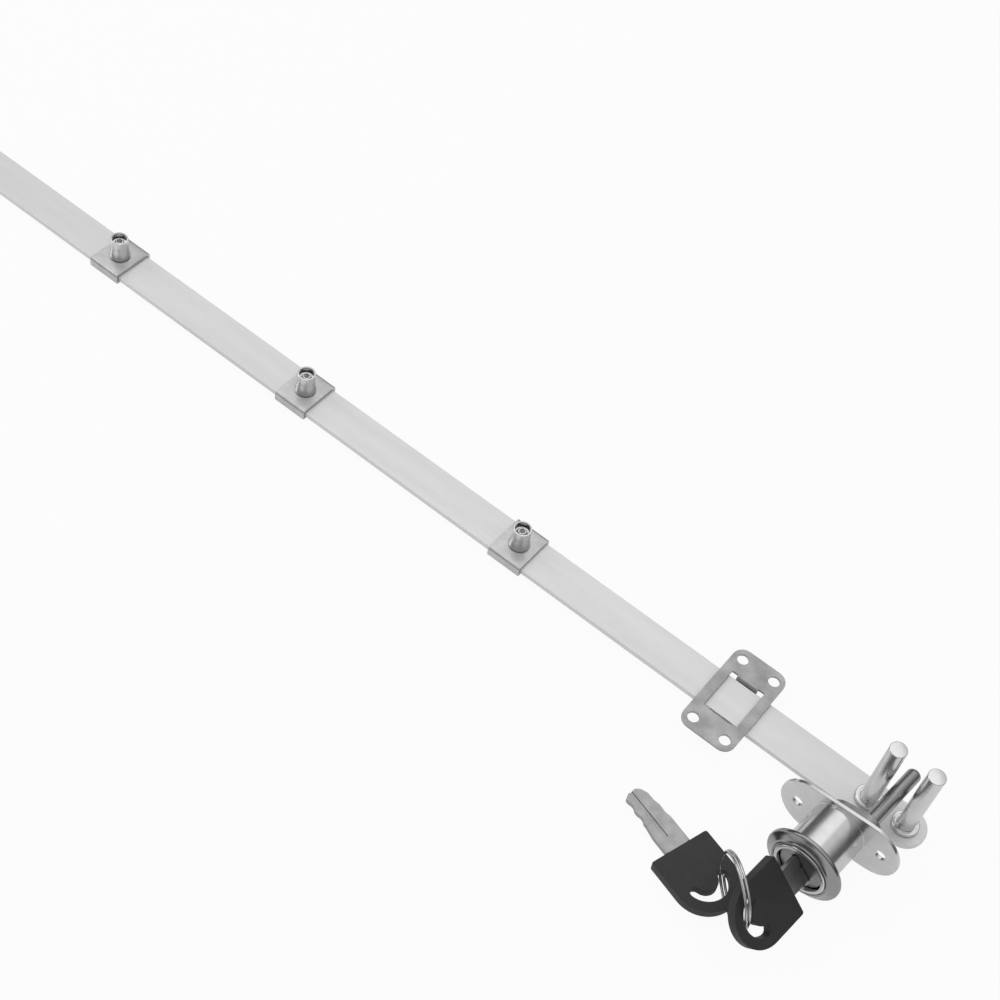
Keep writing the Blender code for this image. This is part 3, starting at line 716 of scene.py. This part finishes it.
@dataclass
class LockingBar:
    """The flat bar with its two drive pins."""

    pin_radius: float = 3.0
    pin_top: float = 35.3
    bar_top: float = 3.3
    bar_bottom: float = 1.3
    collar_radius: float = 4.6
    collar_height: float = 1.5
    collar_seat: float = 0.3
    collar_chamfer: float = 0.1
    shank_radius: float = 1.9
    corner_round: float = 0.3
    # The groove in the collar, as reaches out from the pin's wall.
    groove_mouth: float = 0.75
    groove_wall: float = 0.62
    groove_floor: float = 0.2
    groove_depth: float = 0.22
    pin_steps: int = 72
    edge: float = 0.18

    def pin_profile(self) -> Profile:
        """The outline of a drive pin, from the riveted foot to the top.

        Returns:
            Points of (radius, height above the table).
        """
        seat = self.bar_top + self.collar_seat
        collar_top = self.bar_top + self.collar_height
        groove = collar_top - self.groove_depth
        outline = [(0.0, self.bar_bottom), (self.shank_radius, self.bar_bottom), (self.shank_radius, seat)]
        outline += [(self.collar_radius - self.collar_chamfer, seat)]
        outline += [(self.collar_radius, seat + self.collar_chamfer)]
        outline += rounded((self.collar_radius, collar_top), self.corner_round)
        outline += [(self.pin_radius + self.groove_mouth, collar_top)]
        outline += [(self.pin_radius + self.groove_wall, groove)]
        outline += [(self.pin_radius + self.groove_floor, groove), (self.pin_radius, collar_top)]
        outline += rounded((self.pin_radius, self.pin_top), self.corner_round)
        outline += [(0.0, self.pin_top)]
        return outline

    def build(self, shop: Workshop) -> None:
        """Dresses the bar and turns its pins.

        Args:
            shop: Where pieces are made.
        """
        shop.dress("lock_bar", "bar_plate", edge=self.edge, segments=3)
        for name in ("bar_pin_inner", "bar_pin_outer"):
            low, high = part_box(name)
            middle = (low + high) / 2.0
            mesh = turned(self.pin_profile(), self.pin_steps, upright=True)
            place = Matrix.Translation((middle.x, middle.y, 0.0))
            made = shop.piece(f"{name}_turned", mesh, place, "turned_plate")
            shop.stand_for(made, name, "bar")


@dataclass
class BarClips:
    """The clips on the bar, each with a hollow catch pin and a clamping screw."""

    count: int = 3
    foot: float = 4.9
    top: float = 13.3
    radius: float = 3.25
    bore: float = 2.0
    spigot: float = 2.7
    spigot_foot: float = 3.9
    flare: float = 3.9
    foot_inset: float = 0.08
    foot_chamfer: float = 0.1
    # The taper from the flared foot to the wall.
    taper_start: float = 0.25
    taper_height: float = 4.6
    taper_power: float = 1.5
    taper_steps: int = 8
    rim_band: float = 0.4
    rim_round: float = 0.15
    mouth: float = 2.7
    mouth_chamfer: float = 0.1
    mouth_depth: float = 2.6
    mouth_slope: float = 0.3
    pin_steps: int = 64
    clip_edge: float = 0.16
    screw_edge: float = 0.08

    def pin_profile(self) -> Profile:
        """The outline of a hollow catch pin with its flared foot.

        Returns:
            Points of (radius, height above the table).
        """
        outline = [(self.bore, self.spigot_foot), (self.spigot, self.spigot_foot), (self.spigot, self.foot)]
        outline += [(self.flare - self.foot_inset, self.foot), (self.flare, self.foot + self.foot_chamfer)]
        for step in range(1, self.taper_steps + 1):
            share = step / self.taper_steps
            reach = (self.flare - self.radius) * (1.0 - share) ** self.taper_power
            outline.append((self.radius + reach, self.foot + self.taper_start + self.taper_height * share))
        outline += [(self.radius, self.top - self.rim_band)]
        outline += rounded((self.radius, self.top), self.rim_round, steps=3)
        outline += [(self.mouth + self.mouth_chamfer, self.top), (self.mouth, self.top - self.mouth_chamfer)]
        outline += [(self.mouth, self.top - self.mouth_depth)]
        outline += [(self.bore, self.top - self.mouth_depth - self.mouth_slope)]
        return outline

    def build(self, shop: Workshop) -> None:
        """Dresses the clips and screws, and turns the catch pins.

        Args:
            shop: Where pieces are made.
        """
        for number in range(1, self.count + 1):
            shop.dress(f"bar_clip_{number}", "clip_plate", edge=self.clip_edge, segments=3)
            shop.dress(f"set_screw_{number}", "bright_plate", edge=self.screw_edge)
            low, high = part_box(f"catch_pin_{number}")
            middle = (low + high) / 2.0
            mesh = turned(self.pin_profile(), self.pin_steps, upright=True)
            place = Matrix.Translation((middle.x, middle.y, 0.0))
            made = shop.piece(f"catch_pin_{number}_turned", mesh, place, "turned_plate")
            shop.stand_for(made, f"catch_pin_{number}", "bar")


@dataclass
class GuidePlate:
    """The plate that holds the bar down."""

    edge: float = 0.1
    join: float = 0.17

    def build(self, shop: Workshop) -> None:
        """Dresses the plate.

        Args:
            shop: Where pieces are made.
        """
        shop.dress("guide_plate", "guide_plate", edge=self.edge, join=self.join)


@dataclass
class LockBody:
    """The barrel with its flange and the dished ring round its front."""

    rim_front: float = -43.3
    barrel_radius: float = 9.5
    gap: float = 0.3
    ring_radius: float = 13.5
    ring_thick: float = 3.3
    ring_setback: float = 0.3
    ring_steps: int = 120
    back_round: float = 0.45
    # The rolled edge, as points (in from the ring's edge, forward from its back).
    rolled_edge: tuple[tuple[float, float], ...] = ((0.0, 1.0), (0.12, 1.3), (0.42, 1.5))
    # The end of the dish, and the bead, as points (out from the bore, back from the ring's front).
    dish_end: tuple[float, float] = (0.95, 0.5)
    bead: tuple[tuple[float, float], ...] = (
        (0.85, 0.28),
        (0.7, 0.08),
        (0.45, 0.0),
        (0.12, 0.04),
        (0.0, 0.18),
    )
    dish_power: float = 1.3
    dish_steps: int = 6
    housing_edge: float = 0.16
    housing_join: float = 0.14

    def ring_profile(self) -> Profile:
        """The outline of the dished ring: a rolled outer edge, a dish, and an inner bead.

        Returns:
            Points of (radius, distance along the lock axis).
        """
        front = self.rim_front + self.ring_setback
        rear = front + self.ring_thick
        inner = self.barrel_radius + self.gap
        outline = [(inner, rear)]
        # The round starts at this same point. Having it twice lets the flat back be shaded apart.
        outline += [(self.ring_radius - self.back_round, rear)]
        outline += list(reversed(rounded((self.ring_radius, rear), self.back_round)))
        outline += [(self.ring_radius - inward, rear - forward) for inward, forward in self.rolled_edge]
        edge_across, edge_along = outline[-1]
        bead_across, bead_along = inner + self.dish_end[0], front + self.dish_end[1]
        for step in range(1, self.dish_steps + 1):
            share = step / self.dish_steps
            across = edge_across - share * (edge_across - bead_across)
            outline.append((across, edge_along - share**self.dish_power * (edge_along - bead_along)))
        outline += [(inner + outward, front + back) for outward, back in self.bead]
        return outline

    def build(self, shop: Workshop) -> None:
        """Dresses the housing and turns the ring.

        Args:
            shop: Where pieces are made.
        """
        shop.dress("lock_housing", "bright_plate", edge=self.housing_edge, join=self.housing_join)
        mesh = turned(self.ring_profile(), self.ring_steps, upright=False)
        made = shop.piece("trim_ring_dished", mesh, shop.on_lock_axis(), "ring_plate")
        shop.stand_for(made, "trim_ring", "housing")


@dataclass
class LockWorks:
    """What turns in the barrel: the plug, its wafers and springs, and the cam behind it."""

    wafers: int = 5
    pin_radius: float = 2.5
    pin_spigot: float = 1.5
    pin_offset: float = 8.3
    # In degrees.
    pin_angle: float = 40.0
    disc_front: float = -20.8
    disc_rear: float = -16.8
    pin_seat: float = 0.3
    pin_chamfer: float = 0.12
    pin_end: float = 9.0
    # The round end of the pin: its height as a share of the radius, and where its facets stop, in degrees.
    dome_share: float = 0.72
    dome_stop: float = 82.0
    dome_steps: int = 8
    pin_steps: int = 64
    plug_edge: float = 0.08
    plug_join: float = 0.1
    wafer_edge: float = 0.05
    cam_edge: float = 0.25
    screw_edge: float = 0.12

    def pin_profile(self) -> Profile:
        """The outline of the eccentric pin with its round end.

        Returns:
            Points of (radius, distance along the lock axis).
        """
        start = self.disc_rear + self.pin_seat
        outline = [(0.0, self.disc_front), (self.pin_spigot, self.disc_front), (self.pin_spigot, start)]
        outline += [(self.pin_radius - self.pin_chamfer, start), (self.pin_radius, start + self.pin_chamfer)]
        dome = self.dome_share * self.pin_radius
        for step in range(self.dome_steps + 1):
            angle = math.radians(self.dome_stop * step / self.dome_steps)
            along = self.pin_end - dome + dome * math.sin(angle)
            outline.append((self.pin_radius * math.cos(angle), along))
        outline += [(0.0, self.pin_end)]
        return outline

    def build(self, shop: Workshop) -> None:
        """Dresses the plug and cam, and turns the eccentric pin.

        Args:
            shop: Where pieces are made.
        """
        shop.dress("lock_plug", "plug_plate", edge=self.plug_edge, join=self.plug_join)
        for number in range(1, self.wafers + 1):
            shop.dress(f"wafer_{number}", "wafer_brass", edge=self.wafer_edge)
            shop.dress(f"wafer_spring_{number}", "spring_steel")
        shop.dress("cam_disc", "dull_zinc", edge=self.cam_edge, segments=3)
        shop.dress("cam_screw", "spring_steel", edge=self.screw_edge, segments=3)
        angle = math.radians(self.pin_angle)
        shift = Vector((self.pin_offset * math.cos(angle), 0.0, self.pin_offset * math.sin(angle)))
        mesh = turned(self.pin_profile(), self.pin_steps, upright=False)
        place = shop.on_lock_axis() @ Matrix.Translation(shift * MM)
        made = shop.piece("cam_pin_turned", mesh, place, "cam_pin_plate")
        shop.stand_for(made, "cam_pin", "plug")


@dataclass
class KeyPair:
    """The key in the lock, the spare key, and the split ring through both."""

    blade_edge: float = 0.1

    def build(self, shop: Workshop) -> None:
        """Dresses the keys and smooths the ring's wire.

        Args:
            shop: Where pieces are made.
        """
        for key in ("key", "spare_key"):
            shop.dress(f"{key}_blade", "key_steel", edge=self.blade_edge)
            shop.dress(f"{key}_bow", "black_plastic")
            shop.flatten(f"{key}_bow")
        shop.dress("split_ring", "spring_steel")
        shop.round_wire("split_ring")


@dataclass(frozen=True)
class SoftBox:
    """A soft square lamp that points at the middle of the object. Its lengths are in metres."""

    name: str
    place: tuple[float, float, float]
    size: float
    # In watts.
    power: float
    target: tuple[float, float, float] = (0.05, 0.0, 0.0)

    def hang(self) -> None:
        """Hangs the lamp."""
        data = bpy.data.lights.new(self.name, "AREA")
        data.size = self.size
        data.energy = self.power
        made = bpy.data.objects.new(self.name, data)
        place = Vector(self.place)
        made.location = place
        made.rotation_euler = (Vector(self.target) - place).to_track_quat("-Z", "Y").to_euler()
        bpy.context.scene.collection.objects.link(made)


@dataclass
class Studio:
    """The pale floor, the soft light and the camera. Lengths here are in metres."""

    camera_place: tuple[float, float, float] = (0.226121, -0.305653, 0.502966)
    right: tuple[float, float, float] = (0.77817443, 0.61298149, 0.13674153)
    up: tuple[float, float, float] = (-0.5576, 0.5740, 0.5997)
    forward: tuple[float, float, float] = (-0.28909704, 0.54289527, -0.7884717)
    # The lens and the sensor are in millimetres.
    lens: float = 65.145
    sensor: float = 36.0
    nearest: float = 0.01
    farthest: float = 20.0
    floor_size: float = 6.0
    floor_drop: float = 0.0001
    floor_white: float = 0.8
    # How much of the floor glows white, to the camera and to metal.
    floor_glow: float = 0.93
    floor_glow_in_metal: float = 0.5
    sky_level: float = 0.62
    # What metal sees of the sky, as (height on the unit sphere, grey level). The two ends come first.
    sky_bands: tuple[tuple[float, float], ...] = (
        (0.0, 0.1),
        (1.0, 0.8),
        (0.38, 0.16),
        (0.58, 0.45),
        (0.74, 0.74),
    )
    lamps: tuple[SoftBox, ...] = (
        SoftBox(name="overhead_softbox", place=(-0.3, 0.5, 1.3), size=1.5, power=3.0),
        SoftBox(name="left_softbox", place=(-1.2, -0.4, 0.9), size=0.6, power=3.0),
    )

    def camera(self) -> None:
        """Sets the camera where the photograph was taken from."""
        data = bpy.data.cameras.new("photo_camera")
        data.lens = self.lens
        data.sensor_width = self.sensor
        data.clip_start = self.nearest
        data.clip_end = self.farthest
        made = bpy.data.objects.new("photo_camera", data)
        columns = (Vector(self.right), Vector(self.up), -Vector(self.forward))
        turn = Matrix([[column[row] for column in columns] for row in range(3)])
        made.matrix_world = Matrix.Translation(self.camera_place) @ turn.to_quaternion().to_matrix().to_4x4()
        bpy.context.scene.collection.objects.link(made)
        bpy.context.scene.camera = made

    def floor(self) -> None:
        """Lays a pale floor that shows white to the camera and keeps a faint shadow."""
        mesh = bmesh.new()
        bmesh.ops.create_grid(mesh, x_segments=1, y_segments=1, size=self.floor_size / 2.0)
        data = bpy.data.meshes.new("floor")
        mesh.to_mesh(data)
        mesh.free()
        made = bpy.data.objects.new("floor", data)
        made.location.z = -self.floor_drop
        bpy.context.scene.collection.objects.link(made)
        data.materials.append(self.floor_material())

    def floor_material(self) -> bpy.types.Material:
        """Mixes pale paper with a white glow, which only the camera and metal see.

        Returns:
            The material.
        """
        sheet = NodeSheet("pale_floor")
        sheet.tree.nodes.remove(sheet.shader)
        paper = sheet.add("ShaderNodeBsdfDiffuse")
        paper.inputs["Color"].default_value = (*grey(self.floor_white), 1.0)
        glow = sheet.add("ShaderNodeEmission")
        glow.inputs["Strength"].default_value = 1.0
        path = sheet.add("ShaderNodeLightPath")
        seen = sheet.add("ShaderNodeMath", operation="MULTIPLY")
        seen.inputs[1].default_value = self.floor_glow
        share = sheet.add("ShaderNodeMath", operation="MULTIPLY_ADD")
        share.inputs[1].default_value = self.floor_glow_in_metal
        mix = sheet.add("ShaderNodeMixShader")
        sheet.link(path.outputs["Is Camera Ray"], seen.inputs[0])
        sheet.link(path.outputs["Is Glossy Ray"], share.inputs[0])
        sheet.link(seen.outputs[0], share.inputs[2])
        sheet.link(share.outputs[0], mix.inputs[0])
        sheet.link(paper.outputs[0], mix.inputs[1])
        sheet.link(glow.outputs[0], mix.inputs[2])
        sheet.link(mix.outputs[0], sheet.tree.nodes["Material Output"].inputs["Surface"])
        return sheet.material

    def sky(self) -> None:
        """Surrounds the object with white for the camera and with soft grey bands for the metal."""
        world = bpy.data.worlds.new("studio")
        world.use_nodes = True
        bpy.context.scene.world = world
        nodes, links = world.node_tree.nodes, world.node_tree.links
        plain = nodes["Background"]
        plain.inputs["Color"].default_value = (*grey(self.sky_level), 1.0)
        white = nodes.new("ShaderNodeBackground")
        white.inputs["Color"].default_value = (*grey(1.0), 1.0)
        bands = nodes.new("ShaderNodeBackground")
        path = nodes.new("ShaderNodeLightPath")
        direction = nodes.new("ShaderNodeTexCoord")
        split = nodes.new("ShaderNodeSeparateXYZ")
        ramp = nodes.new("ShaderNodeValToRGB")
        stops = ramp.color_ramp.elements
        for number, (position, level) in enumerate(self.sky_bands):
            stop = stops[number] if number < len(stops) else stops.new(position)
            stop.position = position
            stop.color = (*grey(level), 1.0)
        links.new(direction.outputs["Generated"], split.inputs[0])
        links.new(split.outputs["Z"], ramp.inputs[0])
        links.new(ramp.outputs[0], bands.inputs["Color"])
        for_metal = nodes.new("ShaderNodeMixShader")
        for_camera = nodes.new("ShaderNodeMixShader")
        links.new(path.outputs["Is Glossy Ray"], for_metal.inputs[0])
        links.new(plain.outputs[0], for_metal.inputs[1])
        links.new(bands.outputs[0], for_metal.inputs[2])
        links.new(path.outputs["Is Camera Ray"], for_camera.inputs[0])
        links.new(for_metal.outputs[0], for_camera.inputs[1])
        links.new(white.outputs[0], for_camera.inputs[2])
        links.new(for_camera.outputs[0], nodes["World Output"].inputs["Surface"])

    def build(self) -> None:
        """Sets up the floor, the light and the camera."""
        self.floor()
        self.sky()
        for lamp in self.lamps:
            lamp.hang()
        self.camera()
        bpy.context.scene.view_settings.view_transform = "Standard"
        LOG.info("studio ready")


def main() -> None:
    """Builds the looks in order."""
    logging.basicConfig(level=logging.INFO, format="%(name)s: %(message)s")
    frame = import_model()
    shop = Workshop(frame, Finishes().made())
    Studio().build()
    for assembly in (LockingBar(), BarClips(), GuidePlate(), LockBody(), LockWorks(), KeyPair()):
        assembly.build(shop)
        LOG.info("built %s", type(assembly).__name__)


if __name__ == "__main__":
    main()
